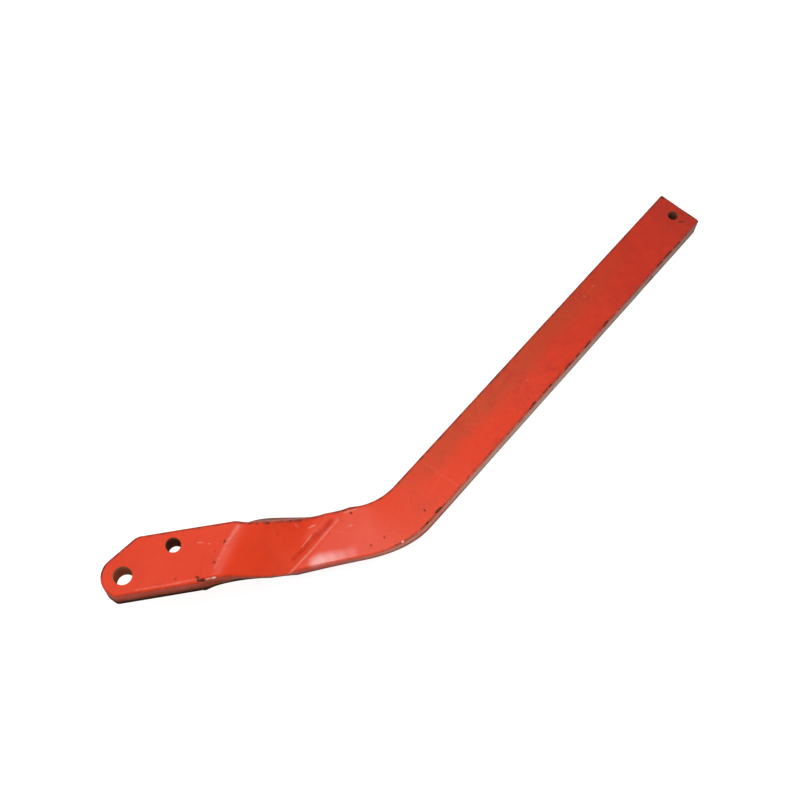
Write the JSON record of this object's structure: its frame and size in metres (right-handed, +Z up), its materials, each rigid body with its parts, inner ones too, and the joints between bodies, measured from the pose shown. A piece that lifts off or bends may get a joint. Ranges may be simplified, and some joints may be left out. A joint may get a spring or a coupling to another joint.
{
  "type": "tillage shank",
  "caption": "Flat steel tillage shank, bent on edge and joggled up to a drilled foot with a rounded, bevelled nose.",
  "frame": {"origin": "on the flat underside of the straight shank, on its centreline, 100 mm past the point where the centrelines of knee and shank cross", "axes": "+X along the foot towards the knee, +Z up out of the flat face; the shank runs 39.3 degrees from +X towards +Y"},
  "size_m": [0.7952, 0.4338, 0.07],
  "materials": {
    "painted_bar": "semi-gloss orange-red enamel, chipped and worn along the edges"
  },
  "bodies": {
    "root": {"shank_bar": "painted_bar"}
  },
  "joints": []
}
